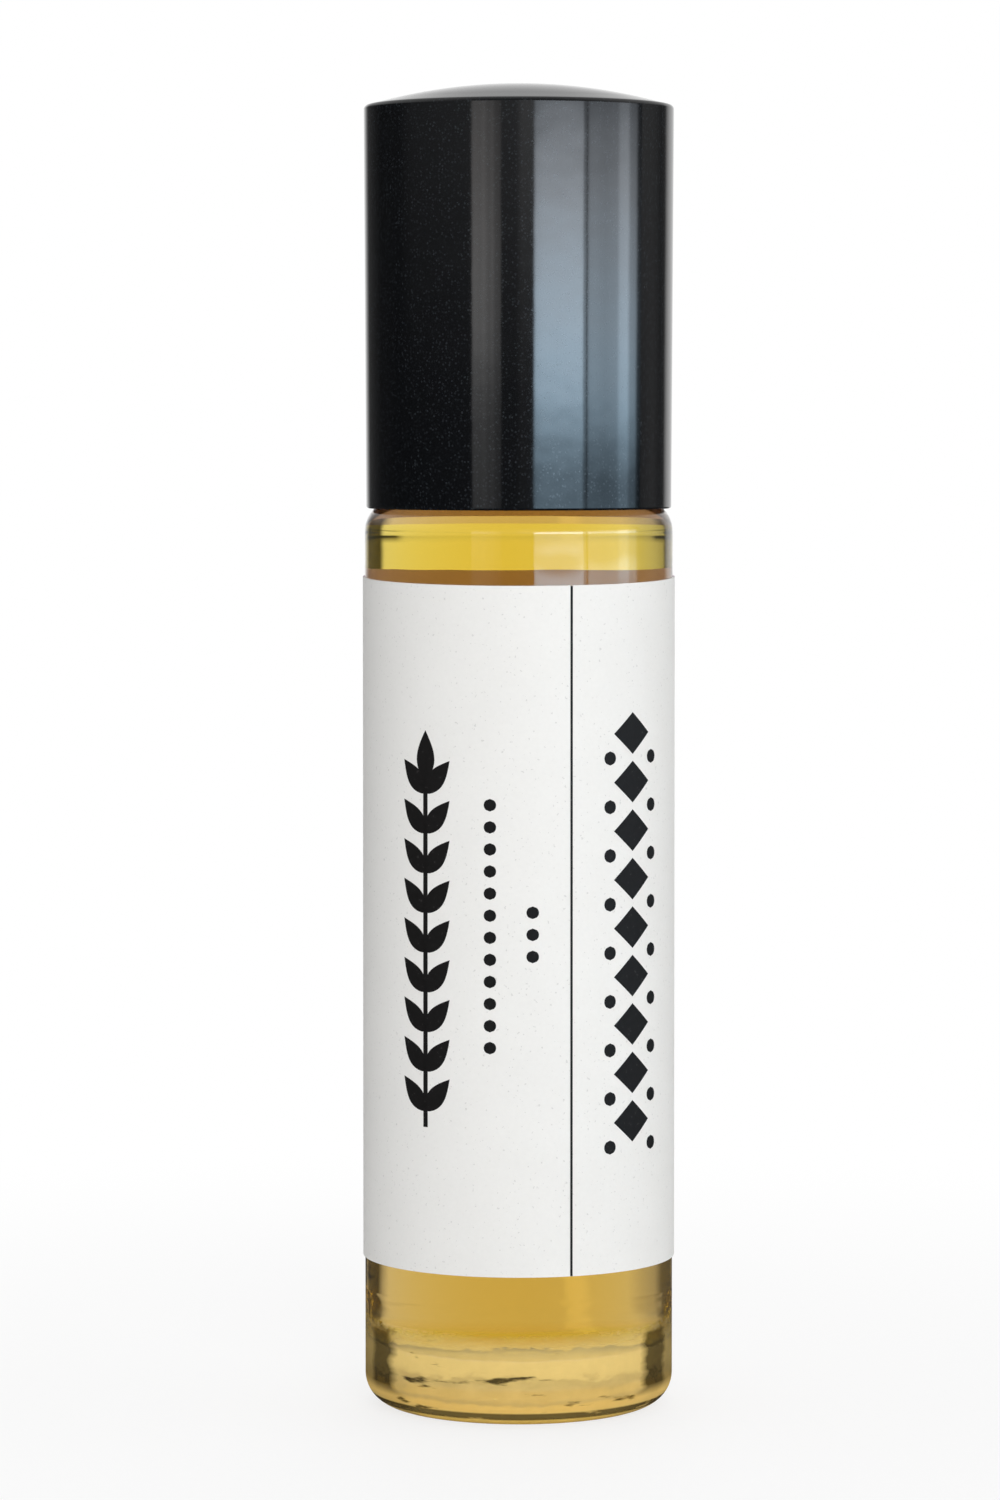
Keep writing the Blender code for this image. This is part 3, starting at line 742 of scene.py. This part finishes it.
def paper_finish():
    material, start, shader = new_finish("label_paper")
    shader.inputs["Roughness"].default_value = 0.62
    shader.inputs["Specular IOR Level"].default_value = 0.35
    place = start.add("ShaderNodeTexCoord", out="Object")
    cloud = start.add("ShaderNodeTexNoise", {"Vector": place, "Scale": 220.0, "Detail": 4.0})
    grain = start.add("ShaderNodeTexNoise", {"Vector": place, "Scale": 4200.0, "Detail": 3.0})
    fleck = start.add("ShaderNodeTexNoise", {"Vector": place, "Scale": 5200.0, "Detail": 1.0})
    dark = (fleck > 0.72) * 0.16
    lightness = (PAPER_LIGHTNESS + (cloud - 0.5) * 0.05 + (grain - 0.5) * 0.05) * (1 - dark)
    paper = start.add(
        "ShaderNodeCombineColor",
        {"Red": lightness, "Green": lightness * 0.992, "Blue": lightness * 0.965},
    )
    paper.feed(shader, "Base Color")
    bump = start.add("ShaderNodeBump", {"Height": grain, "Strength": 0.25, "Distance": 0.00002})
    bump.feed(shader, "Normal")
    glow = start.add("ShaderNodeBsdfTranslucent", {"Color": PAPER_GLOW})
    back = start.add("ShaderNodeNewGeometry", out="Backfacing")
    solid = Signal(start.tree, shader.outputs[0])
    both = start.add("ShaderNodeMixShader", {0: back * PAPER_GLOW_SHARE, 1: solid, 2: glow})
    both.feed(start.tree.nodes["Material Output"], "Surface")
    return material


def glue_finish():
    material, start, shader = new_finish("label_glue")
    place = start.add("ShaderNodeTexCoord", out="Object")
    streak = start.add("ShaderNodeTexNoise", {"Vector": place, "Scale": 300.0, "Detail": 3.0})
    film = start.add(
        "ShaderNodeCombineColor",
        {"Red": 0.78 + streak * 0.1, "Green": 0.56 + streak * 0.1, "Blue": 0.52 + streak * 0.1},
    )
    film.feed(shader, "Base Color")
    shader.inputs["Roughness"].default_value = 0.5
    shader.inputs["Alpha"].default_value = GLUE_COVER
    return material


wrap = math.tau - LABEL_GAP / LABEL_INSIDE
label = turned(
    "paper_label",
    [
        (LABEL_OUTSIDE, LABEL_TOP, 0),
        (LABEL_OUTSIDE, LABEL_FOOT, 0),
        (LABEL_INSIDE, LABEL_FOOT, 0),
        (LABEL_INSIDE, LABEL_TOP, 0),
    ],
    ring=True,
    angle=wrap,
)
bpy.ops.object.mode_set(mode="EDIT")
bpy.ops.mesh.select_all(action="SELECT")
bpy.ops.mesh.fill_holes(sides=4)
bpy.ops.mesh.normals_make_consistent(inside=False)
bpy.ops.object.mode_set(mode="OBJECT")
label.rotation_euler.z = math.pi / 2 - LABEL_GAP_FROM_BACK - (math.tau - wrap) / 2
bpy.ops.object.transform_apply(location=True, rotation=True, scale=True)
for vertex in label.data.vertices:
    if vertex.co.z > (LABEL_FOOT + LABEL_TOP) / 2:
        vertex.co.z += LABEL_RISE_BEHIND * (1 + vertex.co.y / BOTTLE_RADIUS) / 2
shade(label)
paint(label, paper_finish(), glue_finish())
for face in label.data.polygons:
    if face.normal.dot(face.center.xy.to_3d()) < 0:
        face.material_index = 1
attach(label, "bottle")
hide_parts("label")

# Label print
# Black ink on the paper, a few thousandths of a millimetre thick: a rule down the whole label, a
# leafy sprig left of it, a row of lozenges right of it, and two rows of dots.
# Places are how far round the label from its middle and how high, both in metres.
INK_RADIUS = LABEL_OUTSIDE + 0.000001
INK_THICKNESS = 0.000006
INK_CELL = 0.00014
INK_DOUBLES_APART = 0.000002
PRINT_MIDDLE = 0.0317


def leaf_outline(share):
    return math.sin(math.pi * share**0.8)


def lozenge_outline(share):
    return 1 - abs(2 * share - 1)


def dot_outline(share):
    return math.sqrt(max(0, 1 - (2 * share - 1) ** 2))


def bar_outline(share):
    return 1


def mark(outline, length, half_width, place, lean=0.0, long_steps=12):
    """A patch of ink that starts at a place and runs up the label, or leans to one side."""
    wide_steps = 2 + math.ceil(half_width / INK_CELL)
    bpy.ops.object.select_all(action="DESELECT")
    bpy.ops.mesh.primitive_grid_add(x_subdivisions=wide_steps, y_subdivisions=long_steps, size=1)
    patch = bpy.context.object
    for vertex in patch.data.vertices:
        share = vertex.co.y + 0.5
        across = 2 * vertex.co.x * half_width * outline(share)
        along = share * length
        turn = place[0] + across * math.cos(lean) + along * math.sin(lean)
        turn /= LABEL_OUTSIDE
        height = place[1] + along * math.cos(lean) - across * math.sin(lean)
        vertex.co = (INK_RADIUS * math.sin(turn), -INK_RADIUS * math.cos(turn), height)
    return patch


def ink_finish():
    material, start, shader = new_finish("black_ink")
    place = start.add("ShaderNodeTexCoord", out="Object")
    cover = start.add("ShaderNodeTexNoise", {"Vector": place, "Scale": 3800.0, "Detail": 3.0})
    tone = 0.006 + (cover > 0.68) * 0.015 + cover * 0.006
    ink = start.add("ShaderNodeCombineColor", {"Red": tone * 1.1, "Green": tone, "Blue": tone})
    ink.feed(shader, "Base Color")
    shader.inputs["Roughness"].default_value = 0.6
    shader.inputs["Specular IOR Level"].default_value = 0.2
    return material


black_ink = ink_finish()


def print_on_label(name, marks):
    """Joins marks of ink into one piece and gives it its thickness."""
    bpy.ops.object.select_all(action="DESELECT")
    for patch in marks:
        patch.select_set(True)
    bpy.context.view_layer.objects.active = marks[0]
    bpy.ops.object.join()
    ink = bpy.context.object
    ink.name = ink.data.name = name
    bpy.ops.object.mode_set(mode="EDIT")
    bpy.ops.mesh.select_all(action="SELECT")
    bpy.ops.mesh.remove_doubles(threshold=INK_DOUBLES_APART)
    bpy.ops.mesh.dissolve_degenerate(threshold=INK_DOUBLES_APART)
    bpy.ops.object.mode_set(mode="OBJECT")
    depth = ink.modifiers.new("ink", "SOLIDIFY")
    depth.thickness = INK_THICKNESS
    depth.offset = 1
    bpy.ops.object.modifier_apply(modifier=depth.name)
    paint(ink, black_ink)
    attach(ink, "bottle")


RULE_ROUND = 0.00337
RULE_HALF = 0.00008
RULE_MARGIN = 0.00001
rule_length = LABEL_TOP - LABEL_FOOT - 2 * RULE_MARGIN
rule_start = (RULE_ROUND, LABEL_FOOT + RULE_MARGIN)
print_on_label("label_rule", [mark(bar_outline, rule_length, RULE_HALF, rule_start)])

SPRIG_ROUND = -0.00637
SPRIG_LENGTH = 0.0253
SPRIG_LEAVES = 9
STEM_SHARE = 0.92
STEM_HALF = 0.00017
FIRST_KNOT = 0.4
LEAF_LENGTH = 0.0028
LEAF_HALF = 0.00062
LEAF_LEAN = 0.7
TIP_LENGTH = 0.0032
TIP_HALF = 0.0007
sprig_foot = PRINT_MIDDLE - SPRIG_LENGTH / 2
sprig = [mark(bar_outline, SPRIG_LENGTH * STEM_SHARE, STEM_HALF, (SPRIG_ROUND, sprig_foot))]
for i in range(SPRIG_LEAVES):
    knot = (SPRIG_ROUND, sprig_foot + SPRIG_LENGTH * (i + FIRST_KNOT) / (SPRIG_LEAVES + 1))
    for lean in (-LEAF_LEAN, LEAF_LEAN):
        sprig.append(mark(leaf_outline, LEAF_LENGTH, LEAF_HALF, knot, lean))
tip = (SPRIG_ROUND, sprig_foot + SPRIG_LENGTH - TIP_LENGTH)
sprig.append(mark(leaf_outline, TIP_LENGTH, TIP_HALF, tip))
print_on_label("label_sprig", sprig)

LOZENGE_ROUND = 0.00805
LOZENGE_ROW = 0.0279
LOZENGES = 9
LOZENGE_SHARE = 0.86
LOZENGE_MARGIN = 0.07
LOZENGE_HALF = 0.0016
SIDE_DOT = 0.0009
SIDE_DOT_ASIDE = 0.0019
DOT_STEPS = 8
pitch = LOZENGE_ROW / LOZENGES
lozenges = []
for i in range(LOZENGES):
    foot = PRINT_MIDDLE - LOZENGE_ROW / 2 + pitch * i
    lower_tip = (LOZENGE_ROUND, foot + pitch * LOZENGE_MARGIN)
    lozenges.append(mark(lozenge_outline, pitch * LOZENGE_SHARE, LOZENGE_HALF, lower_tip))
    for side in (-1, 1):
        dot = (LOZENGE_ROUND + side * SIDE_DOT_ASIDE, foot - SIDE_DOT / 2)
        lozenges.append(mark(dot_outline, SIDE_DOT, SIDE_DOT / 2, dot, long_steps=DOT_STEPS))
print_on_label("label_lozenges", lozenges)

ROW_DOT = 0.0008
ROW_DOT_PITCH = 0.0014
DOT_ROWS = (("label_dots_long", -0.00187, 0.0320, 12), ("label_dots_short", 0.00085, 0.0315, 3))
for name, round_by, middle, count in DOT_ROWS:
    dots = []
    for i in range(count):
        foot = middle + (i - (count - 1) / 2) * ROW_DOT_PITCH - ROW_DOT / 2
        dots.append(mark(dot_outline, ROW_DOT, ROW_DOT / 2, (round_by, foot), long_steps=DOT_STEPS))
    print_on_label(name, dots)

# Roller housing
# Natural polyethylene, moulded in one: a cup that holds the ball, a flange on the glass and a plug
# that three ribs seal in the neck. Six flutes let the oil past the ball's seat.
ball_low, ball_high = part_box("roller_ball")
BALL_RADIUS = (ball_high.z - ball_low.z) / 2
BALL_HEIGHT = (ball_high.z + ball_low.z) / 2
housing_low, housing_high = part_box("roller_housing")
SOCKET_RADIUS = BALL_RADIUS + 0.0001
CUP_WALL = 0.00135
CUP_RADIUS = SOCKET_RADIUS + CUP_WALL
CUP_ROUND = 0.0008
CUP_FOOT_ROUND = 0.00025
FLANGE_RADIUS = NECK_RADIUS - 0.00025
FLANGE_FOOT = NECK_TOP + 0.00005
FLANGE_TOP = FLANGE_FOOT + 0.0010
RIB_RADIUS = NECK_BORE - 0.00003
PLUG_RADIUS = RIB_RADIUS - 0.0002
PLUG_BORE = PLUG_RADIUS - 0.0007
PLUG_TIP = 0.0005
PLUG_LEAD_IN = 0.00035
RIBS = 3
RIB_PITCH = 0.0018
RIB_HALF = 0.0004
SEAT_BORE = 0.0032
SEAT_HEIGHT = BALL_HEIGHT - math.sqrt(SOCKET_RADIUS**2 - SEAT_BORE**2)
SEAT_FOOT = SEAT_HEIGHT - 0.00085
SEAT_FLARE = 0.0011
SEAT_FLARE_ROUND = 0.0004
FINE_ROUND = 0.0001
SOFT_ROUND = 0.0002
FLUTES = 6
FLUTE_WIDTH = 0.0007
FLUTE_OUTSIDE = SEAT_BORE + 0.0008
FLUTE_FOOT = SEAT_FOOT - 2 * SEAT_FLARE
SOCKET_STEPS = 20


def moulded_finish(name, colour, roughness, wave_scale):
    """Natural moulded plastic: milky, a little cloudy, with a faint texture from its tool."""
    material, start, shader = new_finish(name)
    place = start.add("ShaderNodeTexCoord", out="Object")
    cloud = start.add("ShaderNodeTexNoise", {"Vector": place, "Scale": 420.0, "Detail": 3.0})
    lightness = 0.96 + cloud * 0.08
    red, green, blue = colour
    shade_of = start.add(
        "ShaderNodeCombineColor",
        {"Red": lightness * red, "Green": lightness * green, "Blue": lightness * blue},
    )
    shade_of.feed(shader, "Base Color")
    texture = start.add("ShaderNodeTexNoise", {"Vector": place, "Scale": wave_scale, "Detail": 4.0})
    (roughness + (texture - 0.5) * 0.15).feed(shader, "Roughness")
    shader.inputs["Subsurface Weight"].default_value = 0.25
    shader.inputs["Subsurface Radius"].default_value = (0.0011, 0.0010, 0.0009)
    shader.inputs["Subsurface Scale"].default_value = 1.0
    bump = start.add("ShaderNodeBump", {"Height": texture, "Strength": 0.2, "Distance": 0.00002})
    bump.feed(shader, "Normal")
    return material


lip = housing_high.z
lip_radius = math.sqrt(SOCKET_RADIUS**2 - (lip - BALL_HEIGHT) ** 2)
seat_angle = -math.acos(SEAT_BORE / SOCKET_RADIUS)
lip_angle = math.asin((lip - BALL_HEIGHT) / SOCKET_RADIUS)
socket = []
for i in range(SOCKET_STEPS):
    angle = seat_angle + (lip_angle - seat_angle) * i / SOCKET_STEPS
    height = BALL_HEIGHT + SOCKET_RADIUS * math.sin(angle)
    socket.append((SOCKET_RADIUS * math.cos(angle), height, 0))
ribs = []
for i in range(RIBS):
    middle = NECK_TOP - RIB_PITCH * (i + 1)
    ribs += [
        (PLUG_RADIUS, middle + RIB_HALF, SOFT_ROUND),
        (RIB_RADIUS, middle, FINE_ROUND),
        (PLUG_RADIUS, middle - RIB_HALF, SOFT_ROUND),
    ]
plug_foot = housing_low.z
housing = turned(
    "roller_cup",
    [
        (lip_radius, lip, 0),
        (CUP_RADIUS, lip, CUP_ROUND),
        (CUP_RADIUS, FLANGE_TOP, CUP_FOOT_ROUND),
        (FLANGE_RADIUS, FLANGE_TOP, SOFT_ROUND),
        (FLANGE_RADIUS, FLANGE_FOOT, FINE_ROUND),
        (PLUG_RADIUS, FLANGE_FOOT, 0),
        *ribs,
        (PLUG_RADIUS, plug_foot + PLUG_TIP, SOFT_ROUND),
        (PLUG_RADIUS - PLUG_LEAD_IN, plug_foot, FINE_ROUND),
        (PLUG_BORE, plug_foot, FINE_ROUND),
        (PLUG_BORE, SEAT_FOOT - SEAT_FLARE, SEAT_FLARE_ROUND),
        (SEAT_BORE, SEAT_FOOT, SOFT_ROUND),
        *socket,
    ],
    ring=True,
)
for i in range(FLUTES):
    bpy.ops.object.select_all(action="DESELECT")
    bpy.ops.mesh.primitive_cube_add(size=1)
    flute = bpy.context.object
    flute.name = "flute"
    flute.dimensions = (FLUTE_OUTSIDE, FLUTE_WIDTH, BALL_HEIGHT - FLUTE_FOOT)
    flute.location = (FLUTE_OUTSIDE / 2, 0, (BALL_HEIGHT + FLUTE_FOOT) / 2)
    bpy.ops.object.transform_apply(location=True, rotation=False, scale=True)
    bpy.ops.object.mode_set(mode="EDIT")
    bpy.ops.mesh.select_all(action="SELECT")
    bpy.ops.mesh.bevel(offset=SOFT_ROUND, segments=3, affect="EDGES")
    bpy.ops.object.mode_set(mode="OBJECT")
    flute.rotation_euler.z = math.tau * i / FLUTES
    bpy.ops.object.transform_apply(location=False, rotation=True, scale=False)
    join_by_boolean(housing, flute, "DIFFERENCE")
shade(housing)
paint(housing, moulded_finish("housing_polyethylene", (0.80, 0.80, 0.78), 0.4, 1500.0))
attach(housing, "bottle")
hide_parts("roller_housing")

# Roller ball
# A bearing ball of stainless steel, polished bright, with the hairlines that rolling leaves. The
# housing's lip holds it in, and it carries the oil out as it rolls.
BALL_CUTS = 40


def steel_finish():
    material, start, shader = new_finish("polished_steel")
    shader.inputs["Metallic"].default_value = 1.0
    place = start.add("ShaderNodeTexCoord", out="Object")
    cloud = start.add("ShaderNodeTexNoise", {"Vector": place, "Scale": 500.0, "Detail": 4.0})
    tone = 0.66 + cloud * 0.08
    steel = start.add("ShaderNodeCombineColor", {"Red": tone, "Green": tone, "Blue": tone * 1.01})
    steel.feed(shader, "Base Color")
    drawn = start.add("ShaderNodeMapping", {"Vector": place, "Scale": (1.0, 14.0, 5.0)})
    hairline = start.add("ShaderNodeTexNoise", {"Vector": drawn, "Scale": 1600.0, "Detail": 3.0})
    (0.05 + cloud * 0.05 + (hairline > 0.62) * 0.06).feed(shader, "Roughness")
    bump = start.add("ShaderNodeBump", {"Height": hairline, "Strength": 0.06, "Distance": 0.00001})
    bump.feed(shader, "Normal")
    return material


bpy.ops.object.select_all(action="DESELECT")
bpy.ops.mesh.primitive_cube_add(size=BALL_RADIUS)
ball = bpy.context.object
ball.name = ball.data.name = "steel_roller_ball"
bpy.ops.object.mode_set(mode="EDIT")
bpy.ops.mesh.select_all(action="SELECT")
bpy.ops.mesh.subdivide(number_cuts=BALL_CUTS)
bpy.ops.object.mode_set(mode="OBJECT")
for vertex in ball.data.vertices:
    vertex.co = vertex.co.normalized() * BALL_RADIUS + Vector((0, 0, BALL_HEIGHT))
shade(ball)
paint(ball, steel_finish())
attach(ball, "ball")
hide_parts("roller_ball")

# Seal wad
# A disc of closed-cell foam, pressed into the liner's boss behind a bead. The closed cap lays it on
# the ball, and it seals the bottle there.
wad_low, wad_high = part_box("seal_wad")
WAD_ROUND = 0.0002


def foam_finish():
    material, start, shader = new_finish("wad_foam")
    place = start.add("ShaderNodeTexCoord", out="Object")
    cell = start.add("ShaderNodeTexVoronoi", {"Vector": place, "Scale": 5200.0}, out="Distance")
    tone = 0.78 + cell * 0.10
    foam = start.add("ShaderNodeCombineColor", {"Red": tone, "Green": tone, "Blue": tone * 0.98})
    foam.feed(shader, "Base Color")
    shader.inputs["Roughness"].default_value = 0.8
    bump = start.add("ShaderNodeBump", {"Height": cell, "Strength": 0.5, "Distance": 0.00004})
    bump.feed(shader, "Normal")
    return material


wad = turned(
    "foam_wad",
    [
        (0, wad_high.z, 0),
        (wad_high.x, wad_high.z, WAD_ROUND),
        (wad_high.x, wad_low.z, WAD_ROUND),
        (0, wad_low.z, 0),
    ],
)
shade(wad)
paint(wad, foam_finish())
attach(wad, "seal")
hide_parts("seal_wad")

# Cap liner
# Natural polypropylene, pressed into the shell: a threaded sleeve with a plate across it. A boss
# under the plate holds the wad behind a bead.
liner_low, liner_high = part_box("cap_liner")
LINER_RADIUS = liner_high.x
LINER_BORE = LINER_RADIUS - 0.0010
PLATE_FOOT = wad_high.z + 0.0001
PLATE_TOP = PLATE_FOOT + 0.0012
BOSS_BORE = wad_high.x + 0.0001
BOSS_RADIUS = BOSS_BORE + 0.0009
BEAD_RADIUS = wad_high.x - 0.0003
BEAD_TOP = wad_low.z - 0.0001
BEAD_FOOT = BEAD_TOP - 0.0006
BEAD_SLOPE = 0.0002
PLATE_ROUND = 0.0003
LINER_MOUTH_ROUND = 0.0004
LINER_THREAD_DEPTH = 0.0006
THREAD_CLEARANCE = 0.0001
thread_across = LINER_BORE - NECK_RADIUS
thread_apart = GLASS_THREAD_DEPTH + LINER_THREAD_DEPTH + THREAD_CLEARANCE
thread_drop = math.sqrt(thread_apart**2 - thread_across**2)
liner = turned(
    "threaded_liner",
    [
        (0, PLATE_TOP, 0),
        (LINER_BORE, PLATE_TOP, PLATE_ROUND),
        (LINER_BORE, liner_high.z, FINE_ROUND),
        (LINER_RADIUS, liner_high.z, FINE_ROUND),
        (LINER_RADIUS, liner_low.z, SOFT_ROUND),
        (LINER_BORE, liner_low.z, LINER_MOUTH_ROUND),
        (LINER_BORE, PLATE_FOOT, PLATE_ROUND),
        (BOSS_RADIUS, PLATE_FOOT, SOFT_ROUND),
        (BOSS_RADIUS, BEAD_FOOT, SOFT_ROUND),
        (BEAD_RADIUS, BEAD_FOOT, FINE_ROUND),
        (BEAD_RADIUS, BEAD_TOP - BEAD_SLOPE, FINE_ROUND),
        (BOSS_BORE, BEAD_TOP, 0),
        (BOSS_BORE, PLATE_FOOT, 0),
        (0, PLATE_FOOT, 0),
    ],
)
join_by_boolean(
    liner,
    thread(
        "liner_thread",
        LINER_BORE,
        LINER_THREAD_DEPTH,
        THREAD_FOOT - thread_drop,
        THREAD_TOP - thread_drop,
        1,
    ),
    "UNION",
)
shade(liner)
paint(liner, moulded_finish("liner_polypropylene", (0.82, 0.82, 0.80), 0.42, 1200.0))
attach(liner, "cap")
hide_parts("cap_liner")

# Cap shell
# Glossy black shell, moulded with a low dome and straight sides that narrow a little to the foot.
# Its bore holds the liner and opens a little at the foot. Fine dust lies on the gloss.
cap_low, cap_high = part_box("cap_shell")
CAP_TOP_RADIUS = 0.01005
CAP_FOOT_RADIUS = 0.0099
CAP_FOOT = cap_low.z
CAP_APEX = cap_high.z
CAP_RIM = 0.08434
CAP_RIM_ROUND = 0.00028
CAP_FOOT_ROUND = 0.00015
CAP_BORE = 0.0091
CAP_BORE_AT_FOOT = 0.00955
CAP_BORE_FROM = 0.05864
CAP_CEILING = 0.0839
CAP_CEILING_ROUND = 0.0003
DOME_RADIUS = 0.0349
DOME_STEPS = 12
CAP_BLACK = (0.0035, 0.004, 0.005, 1)
CAP_DUST = (0.035, 0.042, 0.049, 1)


def gloss_black_finish():
    material, start, shader = new_finish("gloss_black")
    shader.inputs["IOR"].default_value = 1.5
    place = start.add("ShaderNodeTexCoord", out="Object")
    haze = start.add("ShaderNodeTexNoise", {"Vector": place, "Scale": 900.0, "Detail": 4.0})
    dust = start.add("ShaderNodeTexVoronoi", {"Vector": place, "Scale": 5000.0}, out="Distance")
    chance = start.add("ShaderNodeSeparateColor", {"Color": dust.also("Color")}, out="Red")
    speck = (0.42 - dust).clipped(5.0) * chance
    black = start.blend(speck * haze, CAP_BLACK, CAP_DUST)
    black.feed(shader, "Base Color")
    roughness = 0.055 + haze * 0.05 + speck * 0.04
    roughness.feed(shader, "Roughness")
    wave = start.add("ShaderNodeTexNoise", {"Vector": place, "Scale": 260.0, "Detail": 2.0})
    bump = start.add("ShaderNodeBump", {"Height": wave, "Strength": 0.1, "Distance": 0.0001})
    bump.feed(shader, "Normal")
    return material


dome = []
for i in range(DOME_STEPS):
    radius = CAP_TOP_RADIUS * i / DOME_STEPS
    dome.append((radius, CAP_APEX - DOME_RADIUS + math.sqrt(DOME_RADIUS**2 - radius**2), 0))
cap = turned(
    "cap_outer_shell",
    [
        *dome,
        (CAP_TOP_RADIUS, CAP_RIM, CAP_RIM_ROUND),
        (CAP_FOOT_RADIUS, CAP_FOOT, CAP_FOOT_ROUND),
        (CAP_BORE_AT_FOOT, CAP_FOOT, FINE_ROUND),
        (CAP_BORE, CAP_BORE_FROM, 0),
        (CAP_BORE, CAP_CEILING, CAP_CEILING_ROUND),
        (0, CAP_CEILING, 0),
    ],
)
shade(cap)
paint(cap, gloss_black_finish())
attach(cap, "cap")
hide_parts("cap_shell")
